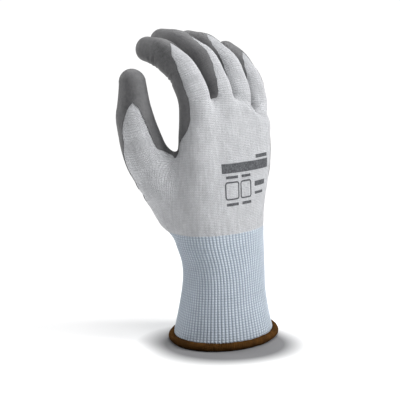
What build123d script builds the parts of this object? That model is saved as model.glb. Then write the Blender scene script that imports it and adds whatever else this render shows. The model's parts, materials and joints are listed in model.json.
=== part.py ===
from build123d import *
from dataclasses import dataclass
import math
import os

# Knitted cut-resistant work glove for the right hand, size L, in the relaxed shape of a worn hand.
# Millimetres. +Z runs up along the forearm, the back of the hand faces -Y, the palm faces +Y and the
# thumb is on the -X side. The origin is the centre of the hem's flat lower face, on which it stands.
#
# The liner is one knitted tube that branches into five finger stalls. It bends at the wrist and at the
# knuckles, so it is divided there: stiff lengths of knit, and a fold zone round each hinge.

# Thicknesses of the layers, and the clearance between one layer and the next.
KNIT = 1.2
COAT = 0.35
INK = 0.15
YARN = 0.7
GAP = 0.05

# Cuff. Heights are of the planes that divide it.
CUFF_TOP = 74.0
HEM_ROLL = 2.65
HEM_WIDTH = 42.0
HEM_DEPTH = 34.0
KNIT_START = 2.0
SIDE_HINGE = 25.0
SIDE_FOLD = 7.0
FLEX_HINGE = 48.0
FLEX_FOLD = 11.0
ELASTIC_PITCH = 2.6
ELASTIC_HEIGHT = 0.8

# Outer face of the cuff and palm at even heights from the hem up: centre x, centre y, half width, half depth.
FORM_PITCH = 12.0
FORM = (
    (0, 0, 41.9, 33.5),
    (0, 0, 39.6, 30.4),
    (0, 0, 37.5, 27.9),
    (0, 0, 35.8, 26.2),
    (-0.2, 0.1, 35.2, 25.3),
    (-1.1, 0.8, 36.5, 25.1),
    (-2.7, 2.2, 39.1, 25.9),
    (-3.3, 2.5, 41.4, 25.4),
    (-2.8, 1.7, 43.1, 23.7),
    (-1.4, 0.7, 44.4, 22.0),
    (-0.4, -0.1, 45.5, 20.5),
    (0, -0.7, 46.3, 19.1),
    (0, -1, 46.3, 17.2),
    (-1, -1, 38.5, 9.0),
)

# Ball of the thumb: a tapered barrel from the heel of the hand to the thumb's first fold.
THENAR_BASE = (-27, 17, 95)
THENAR_RADIUS = 19.0

# How far a hinge lies from the middle of its stall towards the palm, and how much of the stall's depth
# behind its middle the coating still covers.
HINGE_SHIFT = 2.5
COAT_WRAP = 2.5
STUB = 26.0

# Palm coating: its back edge, and the low curve across the heel of the hand.
COAT_BACK = -4.0
COAT_LOW = 64.0
COAT_LOW_X = 4.0
COAT_CURVE = 62.0
THUMB_WRAP = 6.0

# Printed patch on the back of the hand, plain bars and plain tiles: left edge, middle height, width, height.
PRINT_BARS = (
    (-26, 125.5, 54, 6.5),
    (10, 131.5, 17, 2.4),
    (-23, 119.3, 11, 1.8),
    (-8, 119.3, 10, 1.8),
    (7, 112.5, 15, 3.4),
    (7, 106.0, 12, 1.8),
    (-23, 100.5, 11, 1.8),
    (-8, 100.5, 10, 1.8),
)
PRINT_TILES = (
    (-24, 110, 13, 12.5),
    (-9.5, 110, 12, 12.5),
)
TILE_LINE = 0.9

BIG = 400.0


@dataclass
class Digit:
    """A finger stall: its hinge points on the middle line, and the direction of each length between them."""

    name: str
    parts: tuple
    points: list
    ways: list
    turn: Vector
    radii: tuple
    folds: tuple
    tip_length: float

    def palmward(self, i):
        """Unit vector from the middle line of length i towards its palm side."""
        return self.turn.cross(self.ways[i]).normalized()

    def hinge(self, i):
        """Where the axis of fold i passes."""
        side = (self.turn.cross(self.ways[i]) + self.turn.cross(self.ways[i + 1])).normalized()
        return self.points[i] + side * HINGE_SHIFT


def finger(name, root, lean, bends, lengths, radii):
    """Fingers bend towards the palm in a plane that leans from the forearm's line by an angle in degrees."""
    up = Vector(math.sin(math.radians(lean)), 0, math.cos(math.radians(lean)))
    palm = Vector(0, 1, 0)
    ways = [up]
    total = 0.0
    for bend in bends:
        total += math.radians(bend)
        ways.append(up * math.cos(total) + palm * math.sin(total))
    points = [Vector(*root)]
    for way, length in zip(ways[1:], lengths[:-1]):
        points.append(points[-1] + way * length)
    turn = Vector(-up.Z, 0, up.X)
    folds = (7.4, 6.4, 3.8)
    return Digit(name, ("lower", "middle", "tip"), points, ways, turn, radii, folds, lengths[-1])


def thumb():
    """The thumb has two lengths, and its pad faces the side of the index finger."""
    base = Vector(*THENAR_BASE)
    root = Vector(-54, 27, 134)
    first = Vector(-0.33, 0.09, 0.94).normalized()
    turn = first.cross(Vector(0.99, -0.1, 0)).normalized()
    flexed = first.rotate(Axis((0, 0, 0), tuple(turn)), 18)
    ways = [(root - base).normalized(), first, flexed]
    points = [root, root + first * 25]
    return Digit("thumb", ("lower", "tip"), points, ways, turn, (15.5, 13.0, 9.0), (8.0, 6.5), 35.0)


DIGITS = (
    thumb(),
    finger("index", (-36, -1.5, 174), -6, (26, 30, 24), (20, 21, 21), (11.2, 10.4, 9.4, 8.6)),
    finger("middle", (-12, -2, 177), -1, (30, 30, 22), (23, 25, 24), (11.2, 10.6, 9.7, 8.8)),
    finger("ring", (11.2, -2, 175), 2, (27, 30, 21), (22, 24, 23), (10.8, 10.2, 9.3, 8.5)),
    finger("little", (34.2, -1, 166), 7, (18, 24, 16), (18, 19, 21), (9.8, 9.2, 8.4, 7.7)),
)


def slab(low, high):
    """Everything between two heights."""
    return Pos(0, 0, low) * Box(BIG, BIG, high - low, align=(Align.CENTER, Align.CENTER, Align.MIN))


def half_space(point, way):
    """Everything beyond a plane."""
    return Plane(origin=point, z_dir=way) * Box(BIG, BIG, BIG, align=(Align.CENTER, Align.CENTER, Align.MIN))


def form(offset):
    """The cuff and palm as one solid body, grown by an offset. Only its top face moves along Z with it."""
    sections = []
    for row, (x, y, wide, deep) in enumerate(FORM):
        rise = offset if row == len(FORM) - 1 else 0
        sections.append(Pos(x, y, row * FORM_PITCH + rise) * Ellipse(wide + offset, deep + offset))
    return loft(sections)


def wall(low, high, inner, outer):
    """A length of the cuff's wall between two offsets from its outer face."""
    return (form(outer) - form(inner)) & slab(low, high)


def section_plane(point, way, across):
    """A sketch plane whose x is across a stall and whose y runs along it."""
    return Plane(origin=point, x_dir=across, z_dir=across.cross(way))


def spun(point, way, across, lines):
    """A closed outline of lines, turned once round a stall's middle line."""
    face = section_plane(point, way, across) * make_face(lines)
    return revolve(face, Axis(tuple(point), tuple(way)), 360)


def sleeve(digit, i, inner, outer):
    """A stiff length of stall i between two offsets, from one fold zone to the next."""
    way = digit.ways[i + 1]
    start = digit.points[i] + way * digit.folds[i]
    length = (digit.points[i + 1] - digit.points[i]).length - digit.folds[i] - digit.folds[i + 1]
    wide, narrow = digit.radii[i], digit.radii[i + 1]
    corners = ((wide + inner, 0), (wide + outer, 0), (narrow + outer, length), (narrow + inner, length))
    return spun(start, way, digit.turn, Polyline(*corners, close=True))


def cap(digit, inner, outer):
    """The closed end of a stall between two offsets."""
    last = len(digit.points) - 1
    way = digit.ways[-1]
    start = digit.points[last] + way * digit.folds[last]
    wide, narrow = digit.radii[last], digit.radii[last + 1]
    shoulder = digit.tip_length - digit.folds[last] - narrow
    lines = []
    for grow in (inner, outer):
        radius = narrow + grow
        reach = radius * math.sqrt(0.5)
        lines.append(Line((wide + grow, 0), (radius, shoulder)))
        lines.append(ThreePointArc((radius, shoulder), (reach, shoulder + reach), (0, shoulder + radius)))
    lines.append(Line((wide + inner, 0), (wide + outer, 0)))
    lines.append(Line((0, shoulder + narrow + inner), (0, shoulder + narrow + outer)))
    return spun(start, way, digit.turn, lines)


def elbow(digit, i, inner, outer, palm_only=False):
    """Fold zone i between two offsets: a short bend that joins two lengths of stall."""
    before, after = digit.ways[i], digit.ways[i + 1]
    fold = digit.folds[i]
    axis = before.cross(after).normalized()
    angle = before.get_angle(after)
    radius = fold / math.tan(math.radians(angle / 2))
    end = digit.points[i] + after * fold
    centre = end + axis.cross(after) * radius
    ring = Circle(digit.radii[i] + outer) - Circle(digit.radii[i] + inner)
    if palm_only:
        ring &= Pos(-COAT_WRAP, 0) * Rectangle(BIG, BIG, align=(Align.MIN, Align.CENTER))
    face = Plane(origin=end, x_dir=digit.palmward(i + 1), z_dir=after) * ring
    return revolve(face, Axis(tuple(centre), tuple(-axis)), angle)


def stub(digit, offset, overrun):
    """The solid root of a stall, which starts inside the palm and ends at the first fold zone."""
    way = digit.ways[0]
    end = digit.points[0] - way * (digit.folds[0] - overrun)
    start = digit.points[0] - way * STUB
    return Plane(origin=start, z_dir=way) * Cylinder(
        digit.radii[0] + offset, (end - start).length, align=(Align.CENTER, Align.CENTER, Align.MIN)
    )


def thenar(offset, overrun):
    """The ball of the thumb as a solid."""
    digit = DIGITS[0]
    base = Vector(*THENAR_BASE)
    way = digit.ways[0]
    length = (digit.points[0] - base).length - digit.folds[0]
    slope = (THENAR_RADIUS - digit.radii[0]) / length
    barrel = Cone(
        THENAR_RADIUS + offset,
        digit.radii[0] - slope * overrun + offset,
        length + overrun,
        align=(Align.CENTER, Align.CENTER, Align.MIN),
    )
    return Plane(origin=base, z_dir=way) * (Sphere(THENAR_RADIUS + offset) + barrel)


def hand(offset, overrun=0.0):
    """Palm, ball of the thumb and finger roots as one solid. An overrun opens the ends when it is cut out."""
    solid = form(offset) & slab(CUFF_TOP - overrun, BIG)
    solid += thenar(offset, overrun)
    for digit in DIGITS[1:]:
        solid += stub(digit, offset, overrun)
    return solid


def palm_coating():
    """The film on the palm, up the finger roots and round the thumb's root, with a low curve at the heel."""
    film = hand(GAP + COAT) - hand(GAP, 1.0)
    curve = Pos(COAT_LOW_X, 0, COAT_LOW + COAT_CURVE) * Rot(90, 0, 0) * Cylinder(COAT_CURVE, BIG)
    above = slab(COAT_LOW + COAT_CURVE, BIG)
    palm = half_space(Vector(0, COAT_BACK, 0), Vector(0, 1, 0)) & (curve + above)
    digit = DIGITS[0]
    middle = (Vector(*THENAR_BASE) + digit.points[0]) * 0.5 - digit.palmward(1) * THUMB_WRAP
    film &= palm
    outside = half_space(middle, -digit.palmward(1)) & half_space(digit.points[0], -Vector(0, 1, 0))
    return film - outside


def palm_apron():
    """The low edge of the coating where it laps over the top of the cuff's rib."""
    film = wall(COAT_LOW, CUFF_TOP, GAP, GAP + COAT)
    curve = Pos(COAT_LOW_X, 0, COAT_LOW + COAT_CURVE) * Rot(90, 0, 0) * Cylinder(COAT_CURVE, BIG)
    return film & curve & half_space(Vector(0, COAT_BACK, 0), Vector(0, 1, 0))


def back_print():
    """The printed patch: thin ink that follows the back of the hand."""
    stamp = []
    for x, z, wide, high in PRINT_BARS:
        stamp.append(Pos(x + wide / 2, 0, z) * Box(wide, BIG, high))
    for x, z, wide, high in PRINT_TILES:
        hole = Box(wide - 2 * TILE_LINE, BIG, high - 2 * TILE_LINE)
        stamp.append(Pos(x + wide / 2, 0, z) * (Box(wide, BIG, high) - hole))
    ink = form(GAP + INK) - form(GAP)
    ink &= half_space(Vector(0, 0, 0), Vector(0, -1, 0))
    return Part() + [ink & piece for piece in stamp]


def hem_binding():
    """Overlocked roll round the cuff's lower edge, flat underneath, with the knit's edge held inside it."""
    path = Pos(0, 0, HEM_ROLL) * Ellipse(HEM_WIDTH, HEM_DEPTH).edge()
    start = path @ 0
    roll = sweep(Plane(origin=start, z_dir=path % 0) * Circle(HEM_ROLL * 1.08), path)
    return (roll & slab(0, 20)) - wall(KNIT_START - GAP, 20, -KNIT - GAP, GAP)


def elastic(low, high):
    """Stretch yarn laid round the inside of the rib, one ring per pitch."""
    count = int((high - low - ELASTIC_HEIGHT) / ELASTIC_PITCH)
    first = (low + high - count * ELASTIC_PITCH) / 2
    lining = wall(low, high, -KNIT - GAP - YARN, -KNIT - GAP)
    rings = []
    for n in range(count + 1):
        height = first + n * ELASTIC_PITCH
        rings.append(lining & slab(height - ELASTIC_HEIGHT / 2, height + ELASTIC_HEIGHT / 2))
    return Part() + rings


def cuff_nodes():
    side_low, side_high = SIDE_HINGE - SIDE_FOLD, SIDE_HINGE + SIDE_FOLD
    flex_low, flex_high = FLEX_HINGE - FLEX_FOLD, FLEX_HINGE + FLEX_FOLD
    return {
        "hem_binding": hem_binding(),
        "cuff_lower_rib": wall(KNIT_START, side_low, -KNIT, 0),
        "cuff_lower_elastic": elastic(6.5, side_low),
        "cuff_side_fold": wall(side_low, side_high, -KNIT, 0),
        "cuff_middle_rib": wall(side_high, flex_low, -KNIT, 0),
        "cuff_middle_elastic": elastic(side_high, flex_low),
        "wrist_fold": wall(flex_low, flex_high, -KNIT, 0),
        "cuff_upper_rib": wall(flex_high, CUFF_TOP, -KNIT, 0),
        "cuff_upper_elastic": elastic(flex_high, CUFF_TOP),
    }


def hand_nodes():
    return {
        "hand_knit": hand(0) - hand(-KNIT, 1.0),
        "palm_coating": palm_coating(),
        "palm_coating_apron": palm_apron(),
        "back_print": back_print(),
    }


def digit_nodes(digit):
    """Knit, coating and fold zone of each length of one stall. The tip is coated all round."""
    nodes = {}
    for i, part in enumerate(digit.parts):
        name = f"{digit.name}_{part}"
        film = (GAP, GAP + COAT)
        if part == "tip":
            nodes[f"{name}_knit"] = cap(digit, -KNIT, 0)
            coating = cap(digit, *film)
        else:
            nodes[f"{name}_knit"] = sleeve(digit, i, -KNIT, 0)
            edge = digit.points[i] - digit.palmward(i + 1) * COAT_WRAP
            coating = sleeve(digit, i, *film) & half_space(edge, digit.palmward(i + 1))
        nodes[f"{name}_coating"] = coating + elbow(digit, i, *film, palm_only=True)
        nodes[f"{name}_fold"] = elbow(digit, i, -KNIT, 0)
    return nodes


def all_nodes():
    nodes = {**cuff_nodes(), **hand_nodes()}
    for digit in DIGITS:
        nodes.update(digit_nodes(digit))
    return nodes


if __name__ == "__main__":
    os.makedirs("parts", exist_ok=True)
    for node_name, solid in all_nodes().items():
        export_step(solid, f"parts/{node_name}.step")
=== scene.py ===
"""A knitted cut-resistant glove with a dipped palm, in its worn half-curled shape.

The hand is one smooth field of distance to a hand's form. Its surface is meshed, cut along the edge of
the coating and across each finger, and thickened, so that knit and film are closed cloth in lengths.
Lengths are in millimetres until make_piece(), which writes metres. +Z is up along the forearm, +Y
is the way the palm faces, and -X is the thumb's side.
"""

import bpy
import bmesh
import json
import math
import numpy as np
import openvdb
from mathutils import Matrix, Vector

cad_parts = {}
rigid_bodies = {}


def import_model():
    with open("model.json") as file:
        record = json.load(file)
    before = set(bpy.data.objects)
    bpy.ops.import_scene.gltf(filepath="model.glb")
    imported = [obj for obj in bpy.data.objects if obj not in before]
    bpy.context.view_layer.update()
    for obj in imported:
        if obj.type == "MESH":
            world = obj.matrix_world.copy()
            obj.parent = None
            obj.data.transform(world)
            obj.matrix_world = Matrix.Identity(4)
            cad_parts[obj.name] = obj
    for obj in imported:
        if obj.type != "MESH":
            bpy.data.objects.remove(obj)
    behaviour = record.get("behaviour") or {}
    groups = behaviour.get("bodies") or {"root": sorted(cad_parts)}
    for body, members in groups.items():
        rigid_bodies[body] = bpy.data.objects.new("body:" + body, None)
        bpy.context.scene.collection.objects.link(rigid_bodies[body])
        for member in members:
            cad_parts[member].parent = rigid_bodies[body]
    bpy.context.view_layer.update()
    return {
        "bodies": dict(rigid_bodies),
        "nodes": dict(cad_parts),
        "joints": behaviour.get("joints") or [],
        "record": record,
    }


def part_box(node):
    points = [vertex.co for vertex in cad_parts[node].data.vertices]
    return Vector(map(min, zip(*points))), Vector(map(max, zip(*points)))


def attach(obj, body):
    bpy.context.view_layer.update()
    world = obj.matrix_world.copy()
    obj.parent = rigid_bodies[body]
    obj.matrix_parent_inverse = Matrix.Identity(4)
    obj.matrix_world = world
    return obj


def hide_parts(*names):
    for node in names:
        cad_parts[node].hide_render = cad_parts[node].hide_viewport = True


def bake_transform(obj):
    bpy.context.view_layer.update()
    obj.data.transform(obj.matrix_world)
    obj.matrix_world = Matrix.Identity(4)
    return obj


MM = 0.001
UV_SCALE = 0.01

# Directions in plan: the way that the coating faces, and at right angles to it, past the little finger.
FRONT = np.array((0.788, 0.616))
OUTER = np.array((0.616, -0.788))

# Cloth: thickness of the knit and of the film, and gap between them.
KNIT = 1.1
COAT = 0.38
COAT_LIFT = 0.03

# Mesh: size of its cells, its field's depth in cells, and the corners of the space it is made in.
CELL = 1.15
FIELD_BAND = 3
HAND_LOW = (-82.0, -32.0, 57.0)
HAND_HIGH = (62.0, 78.0, 228.0)
# Steps over which the field's slope is measured, then the farthest that a point moves at a time to settle
# on the surface, and the least slope it reckons with.
NORMAL_STEP = 0.35
SETTLE_STEP = 0.3
SETTLE_LIMIT = 1.5
SETTLE_FLOOR = 0.25

# Palm: heights at which the cuff's ovals are read from the frame, then rows for the hand above them, each
# with height, middle x, middle y, half width, half depth, squareness.
CUFF_HEIGHTS = range(3, 66, 9)
PALM_ROWS = (
    (74, -2.9, 2.3, 39.5, 26.0, 2.0),
    (86, -3.0, 2.2, 41.6, 25.0, 2.05),
    (98, -2.4, 1.2, 43.0, 23.0, 2.1),
    (112, -1.0, 0.0, 44.7, 21.2, 2.2),
    (126, -0.2, -0.8, 45.8, 19.4, 2.25),
    (140, 0.0, -1.2, 46.2, 17.8, 2.3),
    (154, -0.4, -1.6, 44.9, 15.6, 2.3),
    (168, -0.8, -2.0, 43.2, 13.4, 2.3),
    (190, -0.8, -2.0, 43.2, 13.0, 2.3),
)
PALM_REACH = (-12, 60)
PALM_TOP_BLEND = 9.0
# Where the palm ends and the stalls begin: x and height, from the thumb's side to the little finger's.
WEB_LINE = ((-50, 166), (-36, 169), (-24, 172), (0, 171.5), (22, 162), (36, 159), (50, 158))
# Pads and hollows of the palm's side: how far out, middle x, half width, middle height, half height. Little
# finger's ball, hollow of the palm, pads below the fingers. Then the hollow on the back beside the thumb.
PALM_PADS = ((2.6, 27, 15, 102, 24), (-4.2, 2, 15, 121, 24), (1.6, 2, 42, 153, 8))
BACK_HOLLOW = (-1.3, -27, 7, 133, 22)
# Knuckles: how far out, half width, half height, and how far below the finger's root.
KNUCKLE_OUT = 1.5
KNUCKLE_WIDE = 9
KNUCKLE_HIGH = 10
KNUCKLE_DROP = 12

# Thumb: its ball in the palm and its web, a bar between two points. How widely web, thumb and fingers blend.
BALL_BASE = np.array((-27.0, 17.0, 95.0))
BALL_RADIUS = 19.0
WEB_ENDS = np.array(((-49.0, 21.0, 122.0), (-36.0, 8.0, 126.0)))
WEB_RADIUS = 8.5
WEB_BLEND = 7.0
THUMB_BLEND = 6.5
FINGER_BLEND = 3.2

# Stalls: radius at the root, at each hinge and at the tip; depth the middle line lies behind the hinges;
# length of stall inside the palm, and how far below it the stall still counts; width against depth; reach
# over which the place along a stall is averaged; depth of the cap at a tip's very end.
RADII = {
    "thumb": (15.3, 12.9, 8.8),
    "index": (11.0, 10.3, 9.4, 8.3),
    "middle": (11.1, 10.5, 9.6, 8.5),
    "ring": (10.7, 10.1, 9.2, 8.2),
    "little": (9.8, 9.1, 8.3, 7.5),
}
THUMB_PARTS = ("lower", "tip")
FINGER_PARTS = ("lower", "middle", "tip")
HINGE_SHIFT = 2.5
STUB = 26.0
STUB_MARGIN = 22.0
FLAT = 0.955
SOFT = 0.45
TIP_CAP = 0.4
# A distance beyond everything, and a weight too small to divide by.
FAR = 1e9
TINY = 1e-30

# Edge of the coating on the palm's base: degrees round the wrist from the palm's front, and height.
BASE_EDGE = (
    (-100, 84), (-68, 81), (-46, 75), (-32, 69), (-12, 66),
    (13, 64), (33, 68), (53, 77), (64, 93), (90, 117),
)
# Radii that turn an angle from the edge into millimetres, on the palm, the thumb and a finger.
FRONT_SPREAD = 26
THUMB_SPREAD = 14
FINGER_SPREAD = 10
# How much nearer than the palm a stall is where its own edge begins and where it alone counts.
THUMB_TAKES_OVER = (-2.0, 3.0)
FINGER_TAKES_OVER = (-1.6, 1.2)
# Waviness of the edge: how far, over what length, seed.
EDGE_WAVES = ((0.45, 23, 4), (0.2, 7, 5))
# Its edge below the index finger: height and y, lowest height, farthest x. Below the little finger: least y
# and height.
INDEX_SIDE_EDGE = ((128, 26), (137, 12), (145, 4), (152, -2.5), (159, -5))
INDEX_SIDE_LOW = 132
INDEX_SIDE_X = 6
LITTLE_SIDE_Y = -8.0
LITTLE_SIDE_LOW = 115
# Its edge round the thumb: distance along it from its root, degrees in plan from the coating's front.
THUMB_OUTER_LIMIT = (
    (-40, 84), (-22, 91), (-12, 95), (0, 108), (12, 128), (22, 138), (31, 158), (38, 182), (50, 200),
)
THUMB_INNER_LIMIT = ((-40, 100), (-9, 104), (-2, 118), (4, 138), (20, 142), (31, 158), (38, 182), (50, 200))
# Its edge round a finger: degrees from its palm side at seven places from below its root to its end joint.
# The ring and little fingers' caps begin later.
FINGER_LIMIT = (108, 110, 119, 133, 156, 184, 200)
MIDDLE_LIMIT = (112, 146, 159, 165, 173, 188, 200)
LITTLE_LIMIT = (118, 132, 143, 147, 158, 184, 200)
LATE_CAP = {"ring": 5.0, "little": 5.0}

# Creases of the palm: line as (x, z) points, width, depth, height of the ridge on each side.
PALM_CREASES = (
    (((41, 121), (34, 122), (26, 127), (19, 135)), 2.9, 2.2, 0.6),
    (((39, 114), (29, 111), (17, 107), (4, 105)), 3.0, 2.3, 0.9),
    (((30, 132), (27, 141), (25, 150)), 2.8, 2.2, 0.8),
    (((14, 122), (10, 139), (3, 157)), 3.3, 2.7, 1.1),
    (((-4, 120), (-9, 139), (-19, 158)), 3.4, 2.5, 1.1),
    (((-24, 147), (-12, 153), (4, 155), (22, 150)), 2.2, 1.0, 0.7),
    (((-30, 132), (-22, 116), (-17, 100), (-14, 86)), 3.4, 1.3, 0.6),
    (((-43, 129), (-49, 116), (-51, 102)), 2.1, 1.0, 0.6),
    (((-36, 127), (-39, 112), (-38, 98)), 2.4, 0.8, 0.6),
)
# How far from its middle a crease is looked for, and how many widths away its ridges stand.
CREASE_REACH = 45
RIDGE_PLACE = 1.9
# Creases at a stall's joint: distance from the hinge and depth inside the bend, then the shallow ones
# outside it. CREASE_FIRM is the share of the full depth on each stall.
INSIDE_CREASES = ((-4.4, 0.5), (-0.6, 1.1), (3.4, 0.6))
INSIDE_WIDTH = 1.15
INSIDE_RIDGE = 0.4
INSIDE_RIDGE_SHIFT = 2.0
OUTSIDE_CREASES = (-4.2, -1.4, 1.5, 4.4)
OUTSIDE_WIDTH = 0.9
OUTSIDE_DEPTH = {"thumb": 0.03, "index": 0.14, "middle": 0.14, "ring": 0.14, "little": 0.14}
CREASE_FIRM = {"thumb": 0.6, "index": 0.9, "middle": 0.9, "ring": 0.75, "little": 0.5}
# Gathers above the cuff, and soft unevenness: how deep, over what length, seed.
GATHER_DEPTH = 0.34
SURFACE_WAVES = ((0.28, 34, 1), (0.10, 12, 2))

# Cuts across the stalls: way of the thumb's first, and how far the first ones stand above the knuckles.
THUMB_CUT_WAY = np.array((-0.449, 0.17, 0.877))
THUMB_CUT_RISE = -3.0
FINGER_CUT_RISE = {"index": -0.5, "middle": -1.0, "ring": 0.0, "little": 1.0}
# How far a cut reaches from its middle and from its stall's surface, and how far the lengths between cuts
# reach from the stall's first hinge and its surface. No edge is split nearer to its end than the share.
CUT_REACH = 26.0
CUT_NEAR = 4
PART_REACH = 90
PART_NEAR = 5
SPLIT_SHARE = 0.08
# Bends: what counts as a length's cut end, the still margin beside it, reach each side of a hinge, and
# length of the bend at a root.
END_SLACK = 1.3
END_MARGIN = 0.1
FOLD_REACH = 5.8
ROOT_FOLD = 8.0

# Cuff: its top, the height at which it divides, the lower end of the film's apron, ribs and courses, and
# the share of their relief that shows inside.
CUFF_TOP = 80.0
CUFF_SPLIT = 34.5
HEM_INSIDE = 2.0
APRON_LOW = 63.0
RIBS = 84
RIB_STEPS = 6
RIB_DEPTH = 0.34
RIB_INSIDE = 0.4
RIB_WIDTH = 2.3
COURSE = 1.75
COURSE_STEPS = 3
# Each length of the cuff: name, bottom, top, body below, body above, heights of its bend, CAD nodes.
CUFF_LENGTHS = (
    (
        "cuff_lower_cloth", HEM_INSIDE, CUFF_SPLIT, "cuff", "wrist", (18.0, 32.0),
        ("cuff_lower_rib", "cuff_side_fold", "cuff_middle_rib"),
    ),
    (
        "cuff_upper_cloth", CUFF_SPLIT, CUFF_TOP, "wrist", "hand", (37.0, 59.0),
        ("wrist_fold", "cuff_upper_rib"),
    ),
)
# CAD nodes that give the cuff's ovals, and those of the elastic thread.
CUFF_SECTION_NODES = ("cuff_lower_rib", "cuff_side_fold", "cuff_middle_rib", "wrist_fold", "cuff_upper_rib")
ELASTIC_NODES = ("cuff_lower_elastic", "cuff_middle_elastic", "cuff_upper_elastic")

# Hem: wraps of thread, steps to each wrap, steps round the roll, slant of a wrap, share of the roll that is
# thread, millimetres of hem to each radian.
HEM_WRAPS = 150
HEM_STEPS = 7
HEM_SECTION = 22
HEM_SLANT = 1.8
HEM_THREAD = 0.12
HEM_ALONG = 38.0

# Knit: columns of stitches round the palm and round a stall, a stitch's width and height, and the palm's
# width against its depth.
PALM_WALES = 146
STALL_WALES = 45
WALE = 1.45
STITCH_COURSE = 1.15
PALM_ROUND = 2.3

# Print: thickness, gap under it, mesh step, and the tiles' line, corner and steps round a corner and a side.
INK = 0.12
INK_LIFT = 0.07
INK_STEP = 0.9
TILE_LINE = 0.9
TILE_CORNER = 2.2
TILE_ARC_STEPS = 7
TILE_SIDE_STEPS = 6
# Printed bars and outlined tiles: left edge, middle height, width, height.
PRINT_BARS = (
    (-26, 125.5, 54, 6.5),
    (10, 131.5, 17, 2.4),
    (-23, 119.3, 11, 1.8),
    (-8, 119.3, 10, 1.8),
    (7, 112.5, 15, 3.4),
    (7, 106.0, 12, 1.8),
    (-23, 100.5, 11, 1.8),
    (-8, 100.5, 10, 1.8),
)
PRINT_TILES = ((-24, 110, 13, 12.5), (-9.5, 110, 12, 12.5))

# Colours, linear.
KNIT_LIGHT = (0.66, 0.67, 0.695)
KNIT_DARK = (0.58, 0.59, 0.615)
# Painted shade in the gaps between the stitches; the same colour also darkens the knit at random in streaks
# and grain.
KNIT_GAP_SHADE_AND_STREAKS = (0.30, 0.305, 0.32)
KNIT_FUZZ = (0.80, 0.81, 0.82)
RIB_LIGHT = (0.475, 0.53, 0.59)
RIB_DARK = (0.42, 0.47, 0.53)
RIB_GAP = (0.235, 0.275, 0.33)
RIB_FUZZ = (0.74, 0.79, 0.86)
COAT_LIGHT = (0.115, 0.115, 0.119)
COAT_DARK = (0.055, 0.055, 0.058)
COAT_WORN = (0.165, 0.165, 0.17)
# Painted shade of the film in the grooves between the cuff's ribs.
COAT_GROOVE_SHADE = (0.04, 0.04, 0.043)
HEM_LIGHT = (0.085, 0.036, 0.007)
HEM_DARK = (0.042, 0.017, 0.003)
# Painted shade between the plies of the thread.
HEM_GAP_SHADE = (0.012, 0.005, 0.001)
HEM_FUZZ = (0.14, 0.07, 0.02)
ELASTIC_DARK = (0.42, 0.42, 0.40)
ELASTIC_LIGHT = (0.62, 0.62, 0.60)
INK_DARK = (0.035, 0.037, 0.042)
INK_WORN = (0.22, 0.225, 0.24)
INK_THIN = (0.10, 0.105, 0.11)
PAPER_DARK = (0.90, 0.90, 0.90)
PAPER_LIGHT = (0.93, 0.93, 0.93)

# Camera.
VIEW_AZIMUTH = 308.0
VIEW_ELEVATION = 9.0
VIEW_DISTANCE = 0.70
LENS = 88.3
TARGET = (-0.0108, 0.0138, 0.0995)

# Studio: light from all round, brightness of the background as seen, and where the floor fades into it.
WORLD_LIGHT = 0.18
WORLD_SEEN = 1.05
FLOOR_RINGS = (0.5, 2.0, 12.0)
FLOOR_SIDES = 64
FLOOR_FADE = (0.22, 0.65)
# A soft pool of painted shadow on the paper under the hem: middle, half width and half depth, where it
# fades, tone.
SHADE_MIDDLE = (-0.016, -0.0125, 0.0)
SHADE_SIZE = (0.058, 0.050, 1.0)
SHADE_EDGE = (0.72, 1.1)
SHADE_TONE = (0.18, 0.18, 0.185)
# Lights: name, degrees round from the camera, degrees up, size in metres, watts.
LIGHT_DISTANCE = 1.4
LIGHTS = (
    ("key", 80.0, 36.0, 0.6, 20.0),
    ("rim", -110.0, 30.0, 0.5, 9.0),
    ("top", 168.0, 58.0, 0.6, 9.0),
    ("upper", 10.0, 70.0, 0.6, 8.0),
)


# ---- numbers


def unit(v):
    v = np.asarray(v, float)
    return v / max(np.linalg.norm(v), 1e-9)


def smooth_min(a, b, k):
    h = np.clip(0.5 + 0.5 * (b - a) / k, 0, 1)
    return b + (a - b) * h - k * h * (1 - h)


def smooth_max(a, b, k):
    return -smooth_min(-a, -b, k)


def ramp(x, low, high):
    t = np.clip((x - low) / (high - low), 0, 1)
    return t * t * (3 - 2 * t)


def hill(x, middle, width):
    return np.exp(-(((x - middle) / width) ** 2))


def curve_through(xs, ys, x):
    """Smooth values through a few points: a Catmull-Rom curve, held flat beyond its ends."""
    xs, ys = np.asarray(xs, float), np.asarray(ys, float)
    x = np.clip(x, xs[0], xs[-1])
    slope = np.gradient(ys, xs)
    i = np.clip(np.searchsorted(xs, x) - 1, 0, len(xs) - 2)
    h = xs[i + 1] - xs[i]
    t = (x - xs[i]) / h
    return (
        (2 * t**3 - 3 * t**2 + 1) * ys[i]
        + (t**3 - 2 * t**2 + t) * h * slope[i]
        + (3 * t**2 - 2 * t**3) * ys[i + 1]
        + (t**3 - t**2) * h * slope[i + 1]
    )


def ripple(p, size, seed):
    """Smooth seeded noise between about -1 and 1: a few crossed sine waves of one wavelength."""
    rng = np.random.default_rng(seed)
    total = np.zeros(len(p))
    for _ in range(6):
        way = unit(rng.normal(size=3))
        total += np.sin(p @ way * (2 * math.pi / size) * rng.uniform(0.7, 1.4) + rng.uniform(0, 6.3))
    return total / 3.0


# ---- skeleton


def node_points(frame, node):
    mesh = frame["nodes"][node].data
    co = np.zeros(len(mesh.vertices) * 3)
    mesh.vertices.foreach_get("co", co)
    return co.reshape(-1, 3) / MM


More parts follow.
